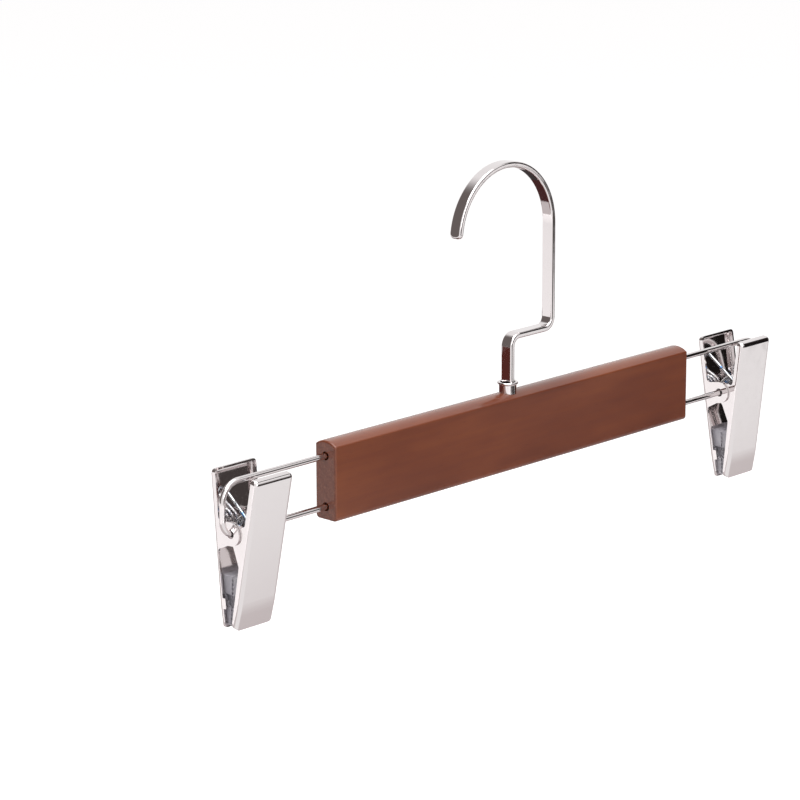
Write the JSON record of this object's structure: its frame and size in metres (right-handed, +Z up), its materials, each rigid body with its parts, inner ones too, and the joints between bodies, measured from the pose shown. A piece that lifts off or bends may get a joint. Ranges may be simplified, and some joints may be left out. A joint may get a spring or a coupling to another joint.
{
  "type": "skirt hanger",
  "caption": "Walnut-stained wooden skirt hanger with a swivelling flat-strip hook and a sprung metal clip sliding on a wire loop at each end.",
  "frame": {"origin": "centre of the hook's bend, where the rail passes", "axes": "+X along the bar, +Y through the hook's bend towards the back, +Z up"},
  "size_m": [0.32, 0.0259, 0.1583],
  "materials": {
    "walnut": "walnut stain under satin lacquer",
    "chrome": "bright chrome plate on steel",
    "zinc": "blue-passivated zinc plate on steel",
    "pvc": "soft grey moulded PVC"
  },
  "bodies": {
    "hook": {"swivel_hook": "chrome", "hook_washer": "zinc"},
    "bar": {"wooden_bar": "walnut", "hook_ferrule": "chrome", "left_wire_loop": "chrome", "right_wire_loop": "chrome"},
    "left_clip": {"left_spring": "zinc"},
    "left_front": {"left_front_jaw": "chrome", "left_front_pad": "pvc"},
    "left_rear": {"left_rear_jaw": "chrome", "left_rear_pad": "pvc"},
    "right_clip": {"right_spring": "zinc"},
    "right_front": {"right_front_jaw": "chrome", "right_front_pad": "pvc"},
    "right_rear": {"right_rear_jaw": "chrome", "right_rear_pad": "pvc"}
  },
  "joints": [
    {"name": "hook_swivel", "type": "hinge", "parent": "hook", "child": "bar", "pos_m": [0.0031, 0, -0.0796], "axis": [0, 0, 1], "continuous": true},
    {"name": "left_clip_slide", "type": "slide", "parent": "bar", "child": "left_clip", "axis": [1, 0, 0], "range_m": [0, 0.028]},
    {"name": "left_front_hinge", "type": "hinge", "parent": "left_clip", "child": "left_front", "pos_m": [-0.1394, 0, -0.0917], "axis": [-1, 0, 0], "range_deg": [0, 16], "stiffness_Nm_per_rad": 0.1, "springref_deg": -45.84, "deforming": ["left_spring"]},
    {"name": "left_rear_hinge", "type": "hinge", "parent": "left_clip", "child": "left_rear", "pos_m": [-0.1394, 0, -0.0917], "axis": [1, 0, 0], "range_deg": [0, 16], "stiffness_Nm_per_rad": 0.1, "springref_deg": -45.84},
    {"name": "right_clip_slide", "type": "slide", "parent": "bar", "child": "right_clip", "axis": [-1, 0, 0], "range_m": [0, 0.028]},
    {"name": "right_front_hinge", "type": "hinge", "parent": "right_clip", "child": "right_front", "pos_m": [0.1494, 0, -0.0917], "axis": [-1, 0, 0], "range_deg": [0, 16], "stiffness_Nm_per_rad": 0.1, "springref_deg": -45.84, "deforming": ["right_spring"]},
    {"name": "right_rear_hinge", "type": "hinge", "parent": "right_clip", "child": "right_rear", "pos_m": [0.1494, 0, -0.0917], "axis": [1, 0, 0], "range_deg": [0, 16], "stiffness_Nm_per_rad": 0.1, "springref_deg": -45.84}
  ],
  "couplings": [
    {"joint": "left_rear_hinge", "follows": "left_front_hinge", "ratio": 1},
    {"joint": "right_rear_hinge", "follows": "right_front_hinge", "ratio": 1}
  ]
}
